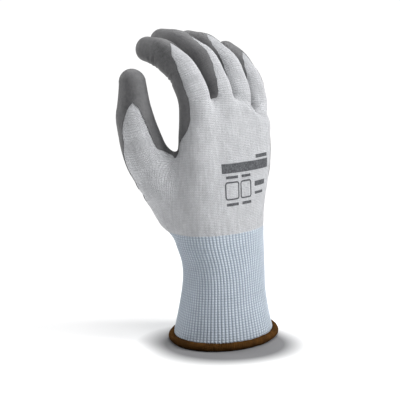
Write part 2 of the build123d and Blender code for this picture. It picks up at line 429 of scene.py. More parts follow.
class Digit:
    """A finger stall's middle line, from the frame's hinges and the end of its tip."""

    def __init__(self, frame, name):
        self.name = name
        self.parts = THUMB_PARTS if name == "thumb" else FINGER_PARTS
        self.radii = RADII[name]
        joints = [next(j for j in frame["joints"] if j["child"] == f"{name}_{part}") for part in self.parts]
        hinges = [np.array(j["pos_m"]) / MM for j in joints]
        turn = unit(joints[0]["axis"])
        self.turn = -turn if name == "thumb" else turn
        tip = node_points(frame, f"{name}_tip_knit")
        first = unit(hinges[0] - BALL_BASE) if name == "thumb" else unit(np.cross((0, 1, 0), self.turn))
        self.points = hinges
        for _ in range(2):
            far = np.linalg.norm(tip - self.points[-1], axis=1)
            end = tip[far > far.max() - TIP_CAP].mean(0)
            ways = [unit(b - a) for a, b in zip(self.points, self.points[1:] + [end])]
            self.ways = [first] + ways
            sides = [unit(np.cross(self.turn, a + b)) for a, b in zip(self.ways, self.ways[1:])]
            self.points = [hinge - side * HINGE_SHIFT for hinge, side in zip(hinges, sides)]
        self.end = self.points[-1] + self.ways[-1] * ((tip - self.points[-1]) @ self.ways[-1]).max()
        start = BALL_BASE if name == "thumb" else self.points[0] - first * STUB
        knots = [start] + self.points + [self.end - self.ways[-1] * self.radii[-1]]
        base = BALL_RADIUS if name == "thumb" else self.radii[0]
        self.line, self.size = self.rounded(knots, [base] + list(self.radii))
        steps = np.linalg.norm(np.diff(self.line, axis=0), axis=1)
        self.at = np.concatenate([[0], np.cumsum(steps)])
        self.at -= self.along(self.points[0])

    @staticmethod
    def rounded(knots, sizes, turn_length=6.0, steps=4):
        """The line through the knots with its corners rounded, and the stall's radius along it."""
        line, size = [knots[0]], [sizes[0]]
        for i in range(1, len(knots) - 1):
            back, on = knots[i] - knots[i - 1], knots[i + 1] - knots[i]
            a = knots[i] - unit(back) * turn_length
            b = knots[i] + unit(on) * turn_length
            for t in np.linspace(0, 1, steps + 1):
                line.append((1 - t) ** 2 * a + 2 * t * (1 - t) * knots[i] + t * t * b)
                share = (t - 0.5) * turn_length
                slope_back = (sizes[i] - sizes[i - 1]) / np.linalg.norm(back)
                slope_on = (sizes[i + 1] - sizes[i]) / np.linalg.norm(on)
                size.append(sizes[i] + (slope_back if share < 0 else slope_on) * share * 2)
        line.append(knots[-1])
        size.append(sizes[-1])
        return np.array(line), np.array(size)

    def at_point(self, i):
        """Distance along the line of hinge i."""
        return self.along(self.points[i])

    def along(self, p):
        """Distance along the line of its nearest place to one point."""
        return float(self.look(np.array([p]))[1][0])

    def away(self, p, s):
        """Unit direction in plan from the stall's middle line, at distance s along it, to each point."""
        place = np.column_stack([np.interp(s, self.at, self.line[:, i]) for i in range(3)])
        away = (p - place)[:, :2]
        return away / np.maximum(np.linalg.norm(away, axis=1), 1e-6)[:, None]

    def look(self, p, soft=False):
        """Distance to the stall's surface, distance along its line, and angle from its palm side.

        With soft, distances along are averaged over the line's short lengths, so that they change smoothly
        round a bend.
        """
        best = np.full(len(p), FAR)
        along = np.zeros(len(p))
        height = np.zeros(len(p))
        side = np.zeros(len(p))
        share_sum = np.zeros(len(p))
        along_sum = np.zeros(len(p))
        last = len(self.line) - 2
        for i in range(last + 1):
            a, b = self.line[i], self.line[i + 1]
            length = np.linalg.norm(b - a)
            way = (b - a) / length
            palm = unit(np.cross(self.turn, way))
            cross = np.cross(way, palm)
            d = p - a
            t = d @ way
            h = np.clip(t / length, 0, 1)
            y, x = d @ palm, d @ cross
            z = t - h * length
            radius = self.size[i] + (self.size[i + 1] - self.size[i]) * h
            dist = np.sqrt((x / FLAT) ** 2 + y**2 + z**2) - radius
            near = dist < best
            best = np.where(near, dist, best)
            here = self.at[i] + np.clip(t, 0 if i else -FAR, length if i < last else FAR)
            along = np.where(near, here, along)
            if soft:
                share = np.exp(-np.clip(dist, -40, 400) / SOFT)
                share_sum += share
                along_sum += share * here
            height = np.where(near, y, height)
            side = np.where(near, x, side)
        if soft:
            along = np.where(share_sum > TINY, along_sum / np.maximum(share_sum, TINY), along)
        return best, along, np.arctan2(side, height)


# ---- form


class Hand:
    """The glove's outer form as a field: below 0 inside, 0 on the surface."""

    def __init__(self, frame):
        self.digits = [Digit(frame, name) for name in RADII]
        rows = [self.section(frame, height) for height in CUFF_HEIGHTS]
        self.rows = np.array(rows + list(PALM_ROWS), float)
        self.palm_lines = [(on_palm(self, line), *shape) for line, *shape in PALM_CREASES]

    @staticmethod
    def section(frame, height):
        """The cuff's outer oval at a height, from the frame's own knit: one row like those of PALM_ROWS."""
        low, high = FAR, 0
        for node in CUFF_SECTION_NODES:
            p = node_points(frame, node)
            if p[:, 2].min() - 0.5 <= height <= p[:, 2].max() + 0.5:
                mesh = frame["nodes"][node].data
                ends = np.array([p[list(e.vertices)] for e in mesh.edges])
                z = ends[:, :, 2]
                crosses = (z[:, 0] - height) * (z[:, 1] - height) < 0
                e, zc = ends[crosses], z[crosses]
                t = (height - zc[:, 0]) / (zc[:, 1] - zc[:, 0])
                q = e[:, 0] + (e[:, 1] - e[:, 0]) * t[:, None]
                low, high = q.min(0), q.max(0)
        middle, half = (low + high) / 2, (high - low) / 2
        return (height, middle[0], middle[1], half[0], half[1], 2.0)

    def oval(self, z):
        """Middle x, middle y, half width, half depth and squareness of the palm at each height."""
        return [curve_through(self.rows[:, 0], self.rows[:, i], z) for i in range(1, 6)]

    def palm(self, p):
        """Distance to the palm and cuff, about in millimetres."""
        cx, cy, wide, deep, n = self.oval(p[:, 2])
        x = np.abs(p[:, 0] - cx) / wide
        y = np.abs(p[:, 1] - cy) / deep
        rho = (x**n + y**n + 1e-9) ** (1 / n)
        slope = np.sqrt((x ** (n - 1) / wide) ** 2 + (y ** (n - 1) / deep) ** 2) / rho ** (n - 1) + 1e-6
        body = (rho - 1) / slope
        body = np.clip(body, *PALM_REACH)
        top = p[:, 2] - curve_through(*zip(*WEB_LINE), p[:, 0])
        return smooth_max(body, top, PALM_TOP_BLEND)

    def swell(self, p):
        """Muscle pads, knuckles and hollows: how far the surface stands out from the plain form."""
        x, y, z = p.T
        palm_side = ramp(y, -4, 8)
        back = ramp(-y, -2, 8)
        out = np.zeros(len(p))
        for height, middle_x, wide, middle_z, high in PALM_PADS:
            out += height * hill(x, middle_x, wide) * hill(z, middle_z, high) * palm_side
        for digit in self.digits[1:]:
            root_x, _, root_z = digit.points[0]
            knuckle = hill(x, root_x, KNUCKLE_WIDE) * hill(z, root_z - KNUCKLE_DROP, KNUCKLE_HIGH)
            out += KNUCKLE_OUT * knuckle * back
        height, middle_x, wide, middle_z, high = BACK_HOLLOW
        out += height * hill(x, middle_x, wide) * hill(z, middle_z, high) * back
        return out

    def field(self, p):
        """Distance to the whole form, about in millimetres near its surface."""
        f = self.palm(p) - self.swell(p)
        way = WEB_ENDS[1] - WEB_ENDS[0]
        h = np.clip((p - WEB_ENDS[0]) @ way / (way @ way), 0, 1)
        web = np.linalg.norm(p - WEB_ENDS[0] - h[:, None] * way, axis=1) - WEB_RADIUS
        f = smooth_min(f, web, WEB_BLEND)
        f = smooth_min(f, self.digits[0].look(p)[0], THUMB_BLEND)
        for digit in self.digits[1:]:
            near = p[:, 2] > digit.points[0][2] - STUB - STUB_MARGIN
            if near.any():
                f[near] = smooth_min(f[near], digit.look(p[near])[0], FINGER_BLEND)
        return f

    def slope(self, p, step):
        """How fast the field rises along each axis."""
        rise = np.zeros_like(p)
        for i in range(3):
            shift = np.zeros(3)
            shift[i] = step
            rise[:, i] = (self.field(p + shift) - self.field(p - shift)) / (2 * step)
        return rise

    def normal(self, p):
        """Unit direction out of the surface at each point."""
        rise = self.slope(p, NORMAL_STEP)
        return rise / np.maximum(np.linalg.norm(rise, axis=1), 1e-9)[:, None]

    def settle(self, p, rounds=4):
        """Moves points on to the surface."""
        for _ in range(rounds):
            f = self.field(p)
            rise = self.slope(p, SETTLE_STEP)
            steep = np.maximum((rise * rise).sum(1), SETTLE_FLOOR)
            p = p - (np.clip(f, -SETTLE_LIMIT, SETTLE_LIMIT) / steep)[:, None] * rise
        return p


def surface(hand, low, high):
    """Quads over the field's surface between two corners."""
    axes = [np.arange(low[i], high[i], CELL) for i in range(3)]
    grid = np.stack(np.meshgrid(*axes, indexing="ij"), -1)
    values = hand.field(grid.reshape(-1, 3)).reshape(grid.shape[:3])
    band = float(CELL * FIELD_BAND)
    block = openvdb.FloatGrid(band)
    block.copyFromArray(np.clip(values, -band, band).astype(np.float32))
    points, quads = block.convertToQuads(isovalue=0.0)
    points = np.asarray(points, float) * CELL + np.array(low)
    return points, np.asarray(quads, int)


# ---- coating


def coated(hand, p):
    """Above 0 where the film covers the knit, about in millimetres from its edge."""
    x, y, z = p.T
    cx, cy, wide, deep, _ = hand.oval(z)
    turn = np.arctan2((y - cy) / deep, (x - cx) / wide)
    plan = np.column_stack([np.cos(turn) / wide, np.sin(turn) / deep])
    plan /= np.linalg.norm(plan, axis=1)[:, None]
    faces_front, faces_outer = plan @ FRONT, plan @ OUTER
    lean = np.degrees(np.arctan2(faces_outer, faces_front))
    edge = curve_through(*zip(*BASE_EDGE), lean)
    front = np.minimum(z - edge, faces_front * FRONT_SPREAD + 1.0)
    little_side = np.minimum.reduce([y - LITTLE_SIDE_Y, z - LITTLE_SIDE_LOW, x])
    index_edge = curve_through(*zip(*INDEX_SIDE_EDGE), z)
    index_side = np.minimum.reduce([y - index_edge, z - INDEX_SIDE_LOW, INDEX_SIDE_X - x])
    cover = np.maximum.reduce([front, little_side, index_side])

    thumb = hand.digits[0]
    d, s, _ = thumb.look(p, soft=True)
    away = thumb.away(p, s)
    inner = np.degrees(np.arctan2(away @ OUTER, away @ FRONT))
    outer_limit = curve_through(*zip(*THUMB_OUTER_LIMIT), s)
    inner_limit = curve_through(*zip(*THUMB_INNER_LIMIT), s)
    limit = np.where(inner < 0, outer_limit, inner_limit)
    thumb_cover = np.minimum(np.radians(limit - np.abs(inner)) * THUMB_SPREAD, z - edge)
    share = ramp(hand.palm(p) - d, *THUMB_TAKES_OVER)
    cover = cover + (thumb_cover - cover) * share

    for digit in hand.digits[1:]:
        d, s, turn = digit.look(p, soft=True)
        middle, end = digit.at_point(1), digit.at_point(2) + LATE_CAP.get(digit.name, 0.0)
        at = (-12, 8, middle, middle + 6, end - 8, end - 3, end)
        outer_limit = curve_through(at, LITTLE_LIMIT if digit.name == "little" else FINGER_LIMIT, s)
        inner_limit = curve_through(at, MIDDLE_LIMIT if digit.name == "middle" else FINGER_LIMIT, s)
        limit = np.where(turn > 0, inner_limit, outer_limit)
        finger = np.radians(limit - np.degrees(np.abs(turn))) * FINGER_SPREAD
        root = digit.points[0][2]
        share = ramp(hand.palm(p) - d, *FINGER_TAKES_OVER) * ramp(z, root - 18, root - 12)
        share = share * (d < 3)
        cover = cover + (finger - cover) * share
    for depth, size, seed in EDGE_WAVES:
        cover = cover + depth * ripple(p, size, seed)
    return cover


# ---- cloth relief


def groove(p, line, width, depth, lip):
    """A crease along a line of points on the surface, with a slight ridge each side."""
    best = np.full(len(p), FAR)
    share = np.zeros(len(p))
    for i in range(len(line) - 1):
        a, way = line[i], line[i + 1] - line[i]
        h = np.clip((p - a) @ way / (way @ way), 0, 1)
        d = np.linalg.norm(p - a - h[:, None] * way, axis=1)
        near = d < best
        best = np.where(near, d, best)
        share = np.where(near, (i + h) / (len(line) - 1), share)
    fade = np.sin(np.clip(share, 0, 1) * math.pi) ** 0.5
    r = best / width
    return depth * fade * (lip * hill(r, RIDGE_PLACE, 1) - hill(r, 0, 1))


def on_palm(hand, places):
    """Points on the palm's surface at given (x, z)."""
    places = np.array(places, float)
    _, cy, _, deep, _ = hand.oval(places[:, 1])
    p = np.column_stack([places[:, 0], cy + deep + 4, places[:, 1]])
    for _ in range(12):
        p[:, 1] -= np.clip(hand.field(p), -3, 3) * 0.8
    return p


def relief(hand, p):
    """How far each point of the surface moves out: gathers at the rib, creases and soft unevenness."""
    x, y, z = p.T
    out = sum(depth * ripple(p, size, seed) for depth, size, seed in SURFACE_WAVES)
    for line, width, depth, lip in hand.palm_lines:
        near = (np.abs(p - line.mean(0)) < CREASE_REACH).all(1)
        if near.any():
            out[near] += groove(p[near], line, width, depth, lip)
    turn = np.arctan2(y, x)
    gather = np.sin(turn * 31 + 1.5 * np.sin(turn * 5)) * np.sin(turn * 13 + 1)
    gather *= ramp(z, CUFF_TOP + 12, CUFF_TOP + 1) * ramp(z, CUFF_TOP - 3, CUFF_TOP + 1)
    out += GATHER_DEPTH * gather
    for n, digit in enumerate(hand.digits):
        d, s, turn = digit.look(p, soft=True)
        mine = np.clip(1.5 - np.abs(d), 0, 1) * ramp(s, -8, -2)
        palm_side = ramp(np.cos(turn), -0.25, 0.6)
        if digit.name == "thumb":
            palm_side = palm_side * ramp(digit.away(p, s) @ FRONT, 0.2, 0.7)
        back = ramp(-np.cos(turn), 0.1, 0.9)
        for i in range(0 if digit.name == "thumb" else 1, len(digit.points)):
            at = digit.at_point(i)
            for k, (shift, full) in enumerate(INSIDE_CREASES):
                depth = full * CREASE_FIRM[digit.name]
                skew = 0.9 * math.sin(2.1 * n + 1.3 * k + i) * np.sin(turn) + 0.5 * np.sin(turn * 2 + k)
                crease = at + shift + skew
                ridge = hill(s, crease + INSIDE_RIDGE_SHIFT, 1)
                out += mine * palm_side * depth * (INSIDE_RIDGE * ridge - hill(s, crease, INSIDE_WIDTH))
            for k, shift in enumerate(OUTSIDE_CREASES):
                crease = at + shift + 0.7 * np.cos(turn * 2 + k + n)
                out += mine * back * OUTSIDE_DEPTH[digit.name] * hill(s, crease, OUTSIDE_WIDTH)
    return out


# ---- cutting and cloth shells


class Cut:
    """The flat cuts across one stall, where each length begins, and the way that each length bends."""

    def __init__(self, digit):
        self.digit = digit
        points, ways = digit.points, digit.ways
        self.places, self.normals, self.bends = [], [], []
        for i, way in enumerate(ways[:-1]):
            if i == 0 and digit.name == "thumb":
                normal = THUMB_CUT_WAY
                place = points[0] + normal * THUMB_CUT_RISE
            elif i == 0:
                normal = way
                place = points[0] + normal * FINGER_CUT_RISE[digit.name]
            else:
                normal = way
                place = (points[i - 1] + points[i]) * 0.5
            self.places.append(place)
            self.normals.append(normal)
            bend = THUMB_CUT_WAY if i == 0 and digit.name == "thumb" else unit(ways[i] + ways[i + 1])
            self.bends.append(bend)

    def side(self, i, p):
        return (p - self.places[i]) @ self.normals[i]


def nearest_digit(hand, p):
    """(number of the stall whose surface is nearest to each point, distance to it)."""
    looks = np.array([digit.look(p)[0] for digit in hand.digits])
    return looks.argmin(0), looks.min(0)


def cut_along(bm, values_of):
    """Splits a mesh's faces along the line where a function of position is 0.

    Edges stay whole where the function is not a number.
    """
    bm.verts.ensure_lookup_table()
    bm.verts.index_update()
    values = values_of(np.array([v.co[:] for v in bm.verts]))
    fresh = []
    for edge in list(bm.edges):
        a, b = edge.verts
        va, vb = values[a.index], values[b.index]
        if math.isnan(va) or math.isnan(vb):
            continue
        if (va < 0) != (vb < 0):
            share = min(max(va / (va - vb), SPLIT_SHARE), 1 - SPLIT_SHARE)
            fresh.append(bmesh.utils.edge_split(edge, a, share)[1])
    if fresh:
        bmesh.ops.connect_verts(bm, verts=fresh)


def cut_surface(hand, cuts, points, quads):
    """The whole surface, cut across its stalls, along the coating's edge and at the top of the cuff."""
    mesh = bpy.data.meshes.new("whole")
    mesh.from_pydata(points.tolist(), [], quads.tolist())
    bm = bmesh.new()
    bm.from_mesh(mesh)
    for level in range(3):

        def value(p, level=level):
            number, distance = nearest_digit(hand, p)
            out = np.full(len(p), np.nan)
            for n, cut in enumerate(cuts):
                if level < len(cut.places):
                    mine = (number == n) & (distance < CUT_NEAR)
                    mine &= np.linalg.norm(p - cut.places[level], axis=1) < CUT_REACH
                    out[mine] = cut.side(level, p[mine])
            return out

        cut_along(bm, value)
    cut_along(bm, lambda p: p[:, 2] - CUFF_TOP)
    cut_along(bm, lambda p: coated(hand, p))
    cut_along(bm, lambda p: p[:, 2] - APRON_LOW)
    bm.verts.index_update()
    points = np.array([v.co[:] for v in bm.verts])
    faces = [[v.index for v in f.verts] for f in bm.faces]
    bm.free()
    bpy.data.meshes.remove(mesh)
    return points, faces


def mesh_normals(points, faces):
    """A normal for each point from the faces round it."""
    normals = np.zeros_like(points)
    for size in sorted({len(f) for f in faces}):
        some = np.array([f for f in faces if len(f) == size])
        area = np.zeros((len(some), 3))
        for k in range(1, size - 1):
            a, b, c = points[some[:, 0]], points[some[:, k]], points[some[:, k + 1]]
            area += np.cross(b - a, c - a)
        for k in range(size):
            np.add.at(normals, some[:, k], area)
    return normals / np.maximum(np.linalg.norm(normals, axis=1), 1e-9)[:, None]


def outline_edges(faces):
    """Directed edges that only one face uses."""
    seen = set()
    for face in faces:
        for a, b in zip(face, face[1:] + face[:1]):
            seen.add((a, b))
    return [(a, b) for a, b in seen if (b, a) not in seen]


def largest_patch(faces):
    """The faces of the largest connected patch, without flecks beside it."""
    patch = {}

    def root(v):
        while patch.setdefault(v, v) != v:
            patch[v] = patch[patch[v]]
            v = patch[v]
        return v

    for face in faces:
        for v in face[1:]:
            patch[root(v)] = root(face[0])
    sizes = {}
    for face in faces:
        sizes[root(face[0])] = sizes.get(root(face[0]), 0) + 1
    largest = max(sorted(sizes), key=sizes.get)
    return [face for face in faces if root(face[0]) == largest]


def shell(points, normals, faces, outer, inner):
    """Closed cloth between two offsets from a surface: its points, faces and normals, and which point of the
    surface each one stands on. An offset is one number, or a column with one for each point."""
    used = np.unique(np.concatenate([np.asarray(f) for f in faces]))
    new = np.full(len(points), -1)
    new[used] = np.arange(len(used))
    top = (points + normals * outer)[used]
    bottom = (points + normals * inner)[used]
    count = len(used)
    front = [[int(new[v]) for v in f] for f in faces]
    back = [[v + count for v in reversed(f)] for f in front]
    rim = [[b, a, a + count, b + count] for a, b in sorted(outline_edges(front))]
    place = np.concatenate([used, used])
    return np.vstack([top, bottom]), front + back + rim, np.vstack([normals[used], -normals[used]]), place


def make_piece(name, points, faces, material, normals=None, uvs=None):
    """A mesh object in metres. uvs holds one pair for each corner, in millimetres along the knit."""
    mesh = bpy.data.meshes.new(name)
    mesh.from_pydata((np.asarray(points) * MM).tolist(), [], faces)
    mesh.shade_smooth()
    if uvs is not None:
        layer = mesh.uv_layers.new(name="knit")
        layer.data.foreach_set("uv", (np.asarray(uvs, np.float32) * UV_SCALE).ravel())
    if normals is not None:
        mesh.normals_split_custom_set_from_vertices(np.asarray(normals).tolist())
    mesh.materials.append(material)
    piece = bpy.data.objects.new(name, mesh)
    bpy.context.scene.collection.objects.link(piece)
    return piece


# ---- knit coordinates


def knit_place(hand, p, number):
    """(across, along) the knit in millimetres, for points on the palm (-1) or on stall number."""
    if number < 0:
        cx, cy, wide, deep, _ = hand.oval(p[:, 2])
        turn = np.arctan2((p[:, 0] - cx) / wide, (p[:, 1] - cy) / deep)
        steps = np.linspace(-math.pi, math.pi, 361)
        lengths = np.hypot(np.diff(np.sin(steps)) * PALM_ROUND, np.diff(np.cos(steps)))
        arc = np.concatenate([[0], np.cumsum(lengths)])
        across = np.interp(turn, steps, arc / arc[-1]) * PALM_WALES * WALE
        return across, p[:, 2].copy()
    _, along, turn = hand.digits[number].look(p, soft=True)
    return turn / (2 * math.pi) * STALL_WALES * WALE, along


def wrapped_uvs(across, along, circle, faces):
    """A pair for each corner. Across is moved by whole circles where a face crosses the wrap's seam."""
    uvs = []
    for face in faces:
        first = across[face[0]]
        for v in face:
            uvs.append((across[v] - circle * round((across[v] - first) / circle), along[v]))
    return uvs


# ---- pieces


def cloth_piece(hand, name, material, surface_data, faces, offsets, number):
    """One closed length of knit or film, between two offsets from the hand's surface."""
    q, f, n, place = shell(*surface_data, faces, *offsets)
    across, along = knit_place(hand, surface_data[0], number)
    circle = (PALM_WALES if number < 0 else STALL_WALES) * WALE
    uvs = wrapped_uvs(across[place], along[place], circle, f)
    return make_piece(name, q, f, material, n, uvs)


def bend_piece(piece, digit, cut, i):
    """Finds where a length of stall would bend over the hinge at its start, still at both of its cut ends,
    and bakes its transform; its points are not moved.
    """
    mesh = piece.data
    p = np.zeros(len(mesh.vertices) * 3)
    mesh.vertices.foreach_get("co", p)
    p = p.reshape(-1, 3) / MM
    way = cut.bends[i]
    t = (p - digit.points[i]) @ way
    low_end = np.abs(cut.side(i, p)) < END_SLACK
    start = max(t[low_end].max() + END_MARGIN, -FOLD_REACH)
    end = start + ROOT_FOLD if i == 0 else FOLD_REACH
    if i + 1 < len(cut.places):
        high_end = np.abs(cut.side(i + 1, p)) < END_SLACK
        end = min(end, t[high_end].min() - END_MARGIN)
    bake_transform(piece)


def hand_surface(hand, cuts):
    """The hand's whole outer surface, cut and creased: points, normals and faces."""
    points, quads = surface(hand, HAND_LOW, HAND_HIGH)
    points, faces = cut_surface(hand, cuts, hand.settle(points), quads)
    points = points + hand.normal(points) * relief(hand, points)[:, None]
    normals = mesh_normals(points, faces)
    if (normals * hand.normal(points)).sum() < 0:
        return points, -normals, [f[::-1] for f in faces]
    return points, normals, faces


def face_sets(hand, cuts, points, faces):
    """The faces of each piece, by stall, by length of the stall (both -1 on the palm) and by layer."""
    centre = np.array([points[f].mean(0) for f in faces])
    film = coated(hand, centre) > 0
    number, distance = nearest_digit(hand, centre)
    part = np.full(len(faces), -1)
    for n, cut in enumerate(cuts):
        near = np.linalg.norm(centre - cut.digit.points[0], axis=1) < PART_REACH
        mine = (number == n) & (distance < PART_NEAR) & near
        for i in range(len(cut.places)):
            part[mine & (cut.side(i, centre) > 0) & (part >= i - 1)] = i
    stall = np.where(part >= 0, number, -1)
    above_cuff = centre[:, 2] > CUFF_TOP
    above_apron = centre[:, 2] > APRON_LOW
    sets = {}
    for k, face in enumerate(faces):
        if above_cuff[k]:
            sets.setdefault((stall[k], part[k], "knit"), []).append(face)
        if film[k] and above_apron[k]:
            sets.setdefault((stall[k], part[k], "coating"), []).append(face)
    return sets


def hand_pieces(hand, materials):
    """The knit and the film of the hand and of each length of each stall."""
    cuts = [Cut(digit) for digit in hand.digits]
    points, normals, faces = hand_surface(hand, cuts)
    offsets = {"knit": (0.0, -KNIT), "coating": (COAT_LIFT + COAT, COAT_LIFT)}
    for (n, i, layer), some in sorted(face_sets(hand, cuts, points, faces).items()):
        knit = layer == "knit"
        if n < 0:
            name = "hand_knit_cloth" if knit else "palm_film"
            old = ("hand_knit",) if knit else ("palm_coating", "palm_coating_apron")
        else:
            body = f"{hand.digits[n].name}_{hand.digits[n].parts[i]}"
            name = f"{body}_cloth" if knit else f"{body}_film"
            old = (f"{body}_knit", f"{body}_fold") if knit else (f"{body}_coating",)
        some = some if knit else largest_patch(some)
        piece = cloth_piece(hand, name, materials[layer], (points, normals), some, offsets[layer], n)
        if n < 0:
            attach(piece, "hand")
        else:
            bend_piece(piece, hand.digits[n], cuts[n], i)
        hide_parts(*old)


def ring_grid(across, rows):
    """Quads between rows of points round closed loops."""
    faces = []
    for j in range(rows - 1):
        for i in range(across):
            k = (i + 1) % across
            faces.append([j * across + i, j * across + k, (j + 1) * across + k, (j + 1) * across + i])
    return faces


def cuff_wall(hand, low, high):
    """Outer face of the rib between two heights: points, out directions, turns, heights, count of rows."""
    columns = RIBS * RIB_STEPS
    steps = max(int(round((high - low) / COURSE * COURSE_STEPS)), 2)
    heights = np.linspace(low, high, steps + 1)
    turn = np.arange(columns) * 2 * math.pi / columns
    z = np.repeat(heights, columns)
    cx, cy, wide, deep, _ = hand.oval(z)
    turns = np.tile(turn, len(heights))
    out = np.column_stack([np.cos(turns) / wide, np.sin(turns) / deep, np.zeros(len(z))])
    out /= np.linalg.norm(out, axis=1)[:, None]
    p = np.column_stack([cx + wide * np.cos(turns), cy + deep * np.sin(turns), z])
    for _ in range(3):
        p = p - out * np.clip(hand.field(p), -2, 2)[:, None]
    return p, out, turns, z, len(heights)


def rib_relief(turns, z):
    """Ribs and courses, in millimetres out from the plain wall: none where the rib meets the hand."""
    rib = (0.5 + 0.5 * np.cos(turns * RIBS)) ** 0.8
    course = np.abs(np.sin(z / COURSE * math.pi)) ** 0.7
    fade = ramp(z, CUFF_TOP, CUFF_TOP - 2.0)
    soft = 0.30 * np.sin(3 * turns + z / 17) + 0.2 * np.sin(7 * turns - z / 11)
    return fade * RIB_DEPTH * (rib * (0.35 + 0.65 * course) * 1.5 - 0.5) + soft * ramp(z, 2, 8) * fade


def cuff_pieces(hand, material):
    """The ribbed cuff in two lengths, each closed cloth."""
    columns = RIBS * RIB_STEPS
    for name, low, high, lower, upper, fold, old in CUFF_LENGTHS:
        p, out, turns, z, rows = cuff_wall(hand, low, high)
        under = ramp(coated(hand, p), -0.5, 1.0) * ramp(z, APRON_LOW - 2, APRON_LOW)
        lift = (rib_relief(turns, z) * (1 - under))[:, None]
        q, faces, _, place = shell(p, out, ring_grid(columns, rows), lift, RIB_INSIDE * lift - KNIT)
        circle = RIBS * RIB_WIDTH
        across = turns / (2 * math.pi) * circle
        uvs = wrapped_uvs(across[place], z[place], circle, faces)
        piece = make_piece(name, q, faces, material, None, uvs)
        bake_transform(piece)
        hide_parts(*old)


def hem_piece(material):
    """Overlocked hem: a roll wrapped by thread, flat where it stands."""
    low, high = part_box("hem_binding")
    roll = (high.z - low.z) / 2 / MM
    wide = high.x / MM - roll
    deep = high.y / MM - roll
    columns, section = HEM_WRAPS * HEM_STEPS, HEM_SECTION
    turn = np.repeat(np.arange(columns) * 2 * math.pi / columns, section)
    round_roll = np.tile(np.arange(section) * 2 * math.pi / section, columns)
    out = np.column_stack([np.cos(turn) / wide, np.sin(turn) / deep, np.zeros(len(turn))])
    out /= np.linalg.norm(out, axis=1)[:, None]
    slant = turn * HEM_WRAPS - HEM_SLANT * np.sin(round_roll)
    thread = np.abs(np.sin(slant / 2)) ** 0.7
    uneven = 0.03 * np.sin(turn * 11) + 0.02 * np.sin(turn * 29 + round_roll)
    radius = roll * (1 - HEM_THREAD + HEM_THREAD * thread + uneven)
    path = np.column_stack([wide * np.cos(turn), deep * np.sin(turn), np.full(len(turn), roll)])
    p = path + out * (radius * np.cos(round_roll))[:, None]
    p[:, 2] += radius * np.sin(round_roll) * 1.04
    p[:, 2] = np.maximum(p[:, 2], 0.02 * thread)
    faces = []
    for i in range(columns):
        for j in range(section):
            k, m = (i + 1) % columns, (j + 1) % section
            faces.append([i * section + j, k * section + j, k * section + m, i * section + m])
    uvs = wrapped_uvs(turn * HEM_ALONG, round_roll * roll, 2 * math.pi * HEM_ALONG, faces)
    piece = make_piece("hem_overlock", p, faces, material, None, uvs)
    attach(piece, "cuff")
    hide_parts("hem_binding")


def back_of_hand(hand, x, z):
    """Points on the back of the hand at given x and z, with the cloth's relief."""
    _, cy, _, deep, _ = hand.oval(z)
    p = np.column_stack([x, cy - deep, z])
    for _ in range(8):
        p[:, 1] += np.clip(hand.field(p), -3, 3) * 0.9
    return p + hand.normal(p) * relief(hand, p)[:, None]


def bar_patch(left, middle, wide, high):
    """Flat bar of ink: x, z of its grid of points, and its faces."""
    cols = max(int(wide / INK_STEP), 2)
    rows = max(int(high / INK_STEP), 2)
    u, v = np.meshgrid(np.linspace(0, 1, cols + 1), np.linspace(0, 1, rows + 1))
    x = left + u.ravel() * wide
    z = middle + (v.ravel() - 0.5) * high
    faces = []
    for j in range(rows):
        for i in range(cols):
            a = j * (cols + 1) + i
            faces.append([a, a + 1, a + cols + 2, a + cols + 1])
    return x, z, faces


def tile_patch(left, middle, wide, high):
    """Outline of a rounded tile: x, z of its outer, middle and inner loops, and the faces between them."""
    xz = []
    for inset in (0.0, TILE_LINE / 2, TILE_LINE):
        r = TILE_CORNER - inset
        centres = []
        for side_x, side_z in ((1, 1), (-1, 1), (-1, -1), (1, -1)):
            x = left + wide / 2 + side_x * (wide / 2 - inset - r)
            z = middle + side_z * (high / 2 - inset - r)
            centres.append(np.array((x, z)))
        for q, centre in enumerate(centres):
            for t in np.radians(np.linspace(q * 90, q * 90 + 90, TILE_ARC_STEPS)):
                xz.append(centre + r * np.array((math.cos(t), math.sin(t))))
            a = xz[-1]
            b = a + centres[(q + 1) % 4] - centre
            for share in np.linspace(0, 1, TILE_SIDE_STEPS + 2)[1:-1]:
                xz.append(a + (b - a) * share)
    xz = np.array(xz)
    return xz[:, 0], xz[:, 1], ring_grid(len(xz) // 3, 3)


def print_piece(hand, material):
    """Generic print on the back of the hand: plain bars and outlined tiles that follow the cloth."""
    points, normals, faces = [], [], []
    base = 0
    shapes = [bar_patch(*bar) for bar in PRINT_BARS]
    shapes += [tile_patch(*tile) for tile in PRINT_TILES]
    for x, z, some in shapes:
        p = back_of_hand(hand, x, z)
        n = hand.normal(p)
        a, b, c = p[some[0][0]], p[some[0][1]], p[some[0][2]]
        if np.cross(b - a, c - b) @ n[some[0][0]] < 0:
            some = [f[::-1] for f in some]
        q, f, m, _ = shell(p, n, some, INK_LIFT + INK, INK_LIFT)
        points.append(q)
        normals.append(m)
        faces += [[v + base for v in face] for face in f]
        base += len(q)
    piece = make_piece("back_print_ink", np.vstack(points), faces, material, np.vstack(normals))
    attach(piece, "hand")
    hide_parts("back_print")


# ---- materials


